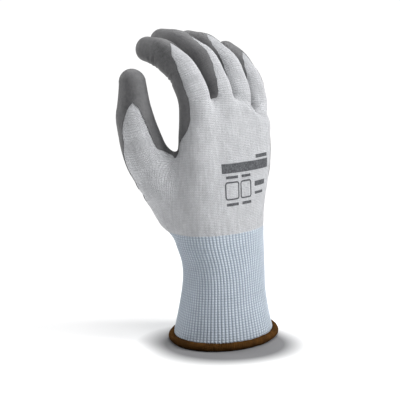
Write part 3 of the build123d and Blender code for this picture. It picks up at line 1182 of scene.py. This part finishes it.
class Nodes:
    """Short names for the node maths of one material."""

    def __init__(self, name):
        self.material = bpy.data.materials.new(name)
        self.material.use_nodes = True
        self.tree = self.material.node_tree
        self.shader = self.tree.nodes["Principled BSDF"]

    def new(self, kind, **values):
        node = self.tree.nodes.new(kind)
        for key, value in values.items():
            setattr(node, key, value)
        return node

    def put(self, socket, value):
        if isinstance(value, bpy.types.NodeSocket):
            self.tree.links.new(value, socket)
        else:
            socket.default_value = value

    def maths(self, operation, a, b=0.0, c=0.0):
        node = self.new("ShaderNodeMath", operation=operation)
        for socket, value in zip(node.inputs, (a, b, c)):
            self.put(socket, value)
        return node.outputs[0]

    def times(self, a, b):
        return self.maths("MULTIPLY", a, b)

    def total(self, first, *others):
        """The first value plus each (value, share) of the others."""
        for value, share in others:
            first = self.maths("ADD", first, self.times(value, share))
        return first

    def noise(self, scale, detail=3.0, rough=0.55, vector=None):
        node = self.new("ShaderNodeTexNoise")
        node.inputs["Scale"].default_value = scale
        node.inputs["Detail"].default_value = detail
        node.inputs["Roughness"].default_value = rough
        where = vector or self.new("ShaderNodeTexCoord").outputs["Object"]
        self.tree.links.new(where, node.inputs["Vector"])
        return node.outputs[0]

    def span(self, value, low, high, to_low=0.0, to_high=1.0):
        node = self.new("ShaderNodeMapRange")
        for socket, v in zip(node.inputs, (value, low, high, to_low, to_high)):
            self.put(socket, v)
        return node.outputs[0]

    def mix(self, share, a, b, kind="MIX"):
        node = self.new("ShaderNodeMix", data_type="RGBA", blend_type=kind)
        self.put(node.inputs[0], share)
        self.put(node.inputs[6], a if isinstance(a, bpy.types.NodeSocket) else (*a, 1.0))
        self.put(node.inputs[7], b if isinstance(b, bpy.types.NodeSocket) else (*b, 1.0))
        return node.outputs[2]

    def bump(self, height, distance, strength=1.0, after=None):
        node = self.new("ShaderNodeBump")
        node.inputs["Distance"].default_value = distance
        node.inputs["Strength"].default_value = strength
        self.tree.links.new(height, node.inputs["Height"])
        if after:
            self.tree.links.new(after, node.inputs["Normal"])
        return node.outputs[0]

    def knit_uv(self):
        """Millimetres across and along the knit."""
        uv = self.new("ShaderNodeUVMap", uv_map="knit")
        split = self.new("ShaderNodeSeparateXYZ")
        self.tree.links.new(uv.outputs[0], split.inputs[0])
        return [self.times(split.outputs[i], 1 / UV_SCALE) for i in (0, 1)]

    def stitches(self, wale, course, slant=0.45):
        """Height of a plain knit's V stitches, 0 in the gaps and 1 on the yarn."""
        across, along = self.knit_uv()
        column = self.maths("FRACT", self.maths("DIVIDE", across, wale))
        from_middle = self.maths("ABSOLUTE", self.maths("SUBTRACT", column, 0.5))
        leg = self.maths("SINE", self.times(from_middle, 2 * math.pi))
        row = self.maths("DIVIDE", along, course)
        row = self.maths("SUBTRACT", row, self.times(from_middle, slant * 2))
        yarn = self.maths("SINE", self.times(self.maths("FRACT", row), math.pi))
        yarn = self.maths("POWER", yarn, 0.6)
        leg = self.maths("POWER", self.maths("ABSOLUTE", leg), 0.5)
        return self.times(yarn, leg)

    def finish(self, color, roughness, normal=None, sheen=0.0, specular=0.5):
        s = self.shader.inputs
        self.put(s["Base Color"], color if isinstance(color, bpy.types.NodeSocket) else (*color, 1.0))
        self.put(s["Roughness"], roughness)
        self.put(s["Specular IOR Level"], specular)
        self.put(s["Sheen Weight"], sheen)
        self.put(s["Sheen Roughness"], 0.45)
        if normal:
            self.put(s["Normal"], normal)
        return self.material


def knit_material():
    """Pale hard-wearing yarn, knitted plain: V stitches with painted shade in the gaps between them, fuzz,
    and slightly uneven tone.
    """
    n = Nodes("knit_yarn")
    stitch = n.stitches(WALE, STITCH_COURSE)
    mottle = n.noise(90, 4, 0.6)
    grain = n.noise(480, 3, 0.7)
    fuzz = n.noise(2600, 2, 0.7)
    across, along = n.knit_uv()
    stretched = n.new("ShaderNodeCombineXYZ")
    n.put(stretched.inputs[0], n.maths("DIVIDE", across, WALE))
    n.put(stretched.inputs[1], n.maths("DIVIDE", along, WALE * 9))
    streak = n.noise(1.0, 2, 0.6, stretched.outputs[0])
    shade = n.mix(n.span(mottle, 0.35, 0.65), KNIT_DARK, KNIT_LIGHT)
    shade = n.mix(n.span(streak, 0.36, 0.62, 0.34, 0.0), shade, KNIT_GAP_SHADE_AND_STREAKS)
    shade = n.mix(n.span(grain, 0.38, 0.62, 0.26, 0.0), shade, KNIT_GAP_SHADE_AND_STREAKS)
    # Painted shade: the knit darkens in the gaps between the stitches.
    color = n.mix(n.span(stitch, 0.0, 0.6), KNIT_GAP_SHADE_AND_STREAKS, shade)
    color = n.mix(n.span(fuzz, 0.3, 0.75, 0.0, 0.12), color, KNIT_FUZZ)
    height = n.total(stitch, (fuzz, 0.35), (grain, 0.7), (streak, 0.9))
    return n.finish(color, 0.86, n.bump(height, 0.0005, 0.9), sheen=0.2, specular=0.25)


def rib_material():
    """Bluish stretch yarn, with the courses and the shade between ribs."""
    n = Nodes("rib_yarn")
    across, along = n.knit_uv()
    rib = n.maths("COSINE", n.times(across, 2 * math.pi / RIB_WIDTH))
    rib = n.span(rib, -1.0, 0.2)
    course = n.maths("ABSOLUTE", n.maths("SINE", n.times(along, math.pi / COURSE)))
    course = n.span(course, 0.0, 0.75)
    yarn = n.times(rib, course)
    mottle = n.noise(120, 3, 0.6)
    fuzz = n.noise(2400, 2, 0.7)
    shade = n.mix(n.span(mottle, 0.35, 0.65), RIB_DARK, RIB_LIGHT)
    color = n.mix(yarn, RIB_GAP, shade)
    color = n.mix(n.span(fuzz, 0.3, 0.75, 0.0, 0.12), color, RIB_FUZZ)
    height = n.total(yarn, (fuzz, 0.4))
    return n.finish(color, 0.88, n.bump(height, 0.0004, 0.7), sheen=0.2, specular=0.2)


def coating_material():
    """Thin polyurethane film: satin, mottled, with pores, and with the knit and the cuff's ribs showing,
    with painted shade in the grooves between the ribs.
    """
    n = Nodes("polyurethane_film")
    stitch = n.stitches(WALE, STITCH_COURSE)
    broad = n.noise(38, 4, 0.6)
    fine = n.noise(520, 3, 0.6)
    pores = n.noise(1900, 2, 0.6)
    color = n.mix(n.span(broad, 0.3, 0.7), COAT_DARK, COAT_LIGHT)
    color = n.mix(n.span(fine, 0.35, 0.7, 0.0, 0.35), color, COAT_WORN)
    rough = n.span(fine, 0.3, 0.7, 0.48, 0.62)
    height = n.total(n.times(stitch, 0.5), (pores, 0.45), (fine, 0.4))
    surface = n.bump(height, 0.00022, 0.8)
    where = n.new("ShaderNodeSeparateXYZ")
    n.tree.links.new(n.new("ShaderNodeTexCoord").outputs["Object"], where.inputs[0])
    x, y, z = where.outputs
    _, middle_x, middle_y, wide, deep, _ = PALM_ROWS[0]
    side = n.maths("DIVIDE", n.maths("SUBTRACT", x, middle_x * MM), wide)
    front = n.maths("DIVIDE", n.maths("SUBTRACT", y, middle_y * MM), deep)
    rib = n.maths("COSINE", n.times(n.maths("ARCTAN2", front, side), RIBS))
    course = n.maths("SINE", n.times(z, 2 * math.pi / (COURSE * MM)))
    grid = n.total(rib, (course, 0.6))
    below = n.span(z, (CUFF_TOP + 2) * MM, (CUFF_TOP - 5) * MM)
    surface = n.bump(n.times(grid, below), 0.00035, 0.9, surface)
    # Painted shade: the film's colour darkens in the grooves between the ribs and courses, below the cuff's
    # top.
    groove_shade = n.times(n.span(grid, 0.6, -1.2, 0.0, 0.55), below)
    color = n.mix(groove_shade, color, COAT_GROOVE_SHADE)
    return n.finish(color, rough, surface, sheen=0.04, specular=0.42)


def hem_material():
    """Brown overlock thread: twisted plies along each wrap, with painted shade between the plies."""
    n = Nodes("overlock_thread")
    across, _ = n.knit_uv()
    strand = n.maths("ABSOLUTE", n.maths("SINE", n.times(across, math.pi / 0.55)))
    shade = n.noise(150, 3, 0.6)
    fuzz = n.noise(2600, 2, 0.7)
    color = n.mix(n.span(shade, 0.35, 0.65), HEM_DARK, HEM_LIGHT)
    # Painted shade: darker between the plies.
    color = n.mix(n.span(strand, 0.0, 0.5, 0.5, 0.0), color, HEM_GAP_SHADE)
    color = n.mix(n.span(fuzz, 0.45, 0.8, 0.0, 0.2), color, HEM_FUZZ)
    height = n.total(strand, (fuzz, 0.5))
    return n.finish(color, 0.85, n.bump(height, 0.0003, 0.7), specular=0.06)


def elastic_material():
    """Covered rubber thread inside the rib."""
    n = Nodes("elastic_thread")
    twist = n.noise(1500, 2, 0.6)
    color = n.mix(n.span(twist, 0.3, 0.7), ELASTIC_DARK, ELASTIC_LIGHT)
    return n.finish(color, 0.7, n.bump(twist, 0.0002, 0.6), sheen=0.1)


def ink_material():
    """Dark print that has sunk into the stitches, paler here and there."""
    n = Nodes("printed_ink")
    fine = n.noise(900, 3, 0.65)
    broad = n.noise(140, 3, 0.6)
    color = n.mix(n.span(fine, 0.42, 0.72, 0.0, 0.55), INK_DARK, INK_WORN)
    color = n.mix(n.span(broad, 0.4, 0.7, 0.0, 0.3), color, INK_THIN)
    return n.finish(color, 0.75, n.bump(fine, 0.0002, 0.7), specular=0.3)


# ---- stage


def away(turn, rise):
    """Unit direction at degrees round the glove and degrees up."""
    a, e = math.radians(turn), math.radians(rise)
    return Vector((math.sin(a) * math.cos(e), -math.cos(a) * math.cos(e), math.sin(e)))


def stand_at(thing, way, distance):
    """Places a lamp or camera at a distance from the target, and turns it to face it."""
    thing.location = Vector(TARGET) + way * distance
    thing.rotation_euler = (-way).to_track_quat("-Z", "Y").to_euler()
    bpy.context.scene.collection.objects.link(thing)


def floor_material():
    """White paper with a pool of painted shadow under the hem, which fades into the bright background far
    away.
    """
    n = Nodes("floor_paper")
    tone = n.noise(3, 2)
    color = n.mix(n.span(tone, 0.3, 0.7), PAPER_DARK, PAPER_LIGHT)
    place = n.new("ShaderNodeNewGeometry").outputs["Position"]
    pool = n.new("ShaderNodeMapping", vector_type="TEXTURE")
    n.put(pool.inputs["Vector"], place)
    pool.inputs["Location"].default_value = SHADE_MIDDLE
    pool.inputs["Rotation"].default_value = (0.0, 0.0, math.radians(VIEW_AZIMUTH))
    pool.inputs["Scale"].default_value = SHADE_SIZE
    reach = n.new("ShaderNodeVectorMath", operation="LENGTH")
    n.put(reach.inputs[0], pool.outputs[0])
    # Painted shadow: the paper's colour darkens towards the shadow tone inside the pool.
    color = n.mix(n.span(reach.outputs["Value"], *SHADE_EDGE), SHADE_TONE, color)
    n.finish(color, 0.9, specular=0.1)
    distance = n.new("ShaderNodeVectorMath", operation="LENGTH")
    n.put(distance.inputs[0], place)
    glow = n.new("ShaderNodeEmission")
    glow.inputs["Strength"].default_value = WORLD_SEEN
    fade = n.new("ShaderNodeMixShader")
    n.put(fade.inputs[0], n.span(distance.outputs["Value"], *FLOOR_FADE))
    n.put(fade.inputs[1], n.shader.outputs[0])
    n.put(fade.inputs[2], glow.outputs[0])
    n.put(n.tree.nodes["Material Output"].inputs[0], fade.outputs[0])
    return n.material


def floor():
    """A flat round floor."""
    turns = np.linspace(0, 2 * math.pi, FLOOR_SIDES, endpoint=False)
    verts = [(0.0, 0.0, 0.0)]
    for r in FLOOR_RINGS:
        verts += [(r * math.cos(t), r * math.sin(t), 0.0) for t in turns]
    faces = [[0, 1 + i, 1 + (i + 1) % FLOOR_SIDES] for i in range(FLOOR_SIDES)]
    faces += [[v + 1 for v in reversed(face)] for face in ring_grid(FLOOR_SIDES, len(FLOOR_RINGS))]
    mesh = bpy.data.meshes.new("floor")
    mesh.from_pydata(verts, [], faces)
    mesh.materials.append(floor_material())
    piece = bpy.data.objects.new("floor", mesh)
    bpy.context.scene.collection.objects.link(piece)


def surroundings():
    """Weak light from all round, and a background that the camera sees as white."""
    world = bpy.data.worlds.new("studio")
    world.use_nodes = True
    tree = world.node_tree
    background = tree.nodes["Background"]
    background.inputs[0].default_value = (1.0, 1.0, 1.0, 1.0)
    path = tree.nodes.new("ShaderNodeLightPath")
    brightness = tree.nodes.new("ShaderNodeMapRange")
    brightness.inputs["To Min"].default_value = WORLD_LIGHT
    brightness.inputs["To Max"].default_value = WORLD_SEEN
    tree.links.new(path.outputs["Is Camera Ray"], brightness.inputs["Value"])
    tree.links.new(brightness.outputs[0], background.inputs[1])
    bpy.context.scene.view_settings.view_transform = "Standard"
    bpy.context.scene.world = world


def lights():
    """A strong key from the right, a rim from behind on the left, and two high up, behind and in front."""
    for name, turn, rise, size, power in LIGHTS:
        light = bpy.data.lights.new(name, "AREA")
        light.size = size
        light.energy = power
        lamp = bpy.data.objects.new(name, light)
        stand_at(lamp, away(VIEW_AZIMUTH + turn, rise), LIGHT_DISTANCE)


def camera():
    """The view of the back of the hand, from a little above."""
    data = bpy.data.cameras.new("camera")
    data.lens = LENS
    eye = bpy.data.objects.new("camera", data)
    stand_at(eye, away(VIEW_AZIMUTH, VIEW_ELEVATION), VIEW_DISTANCE)
    bpy.context.scene.camera = eye


# ---- build

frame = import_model()
glove = Hand(frame)
hand_pieces(glove, {"knit": knit_material(), "coating": coating_material()})
cuff_pieces(glove, rib_material())
hem_piece(hem_material())
print_piece(glove, ink_material())
thread = elastic_material()
for node in ELASTIC_NODES:
    rings = frame["nodes"][node]
    rings.data.materials.clear()
    rings.data.materials.append(thread)
floor()
surroundings()
lights()
camera()
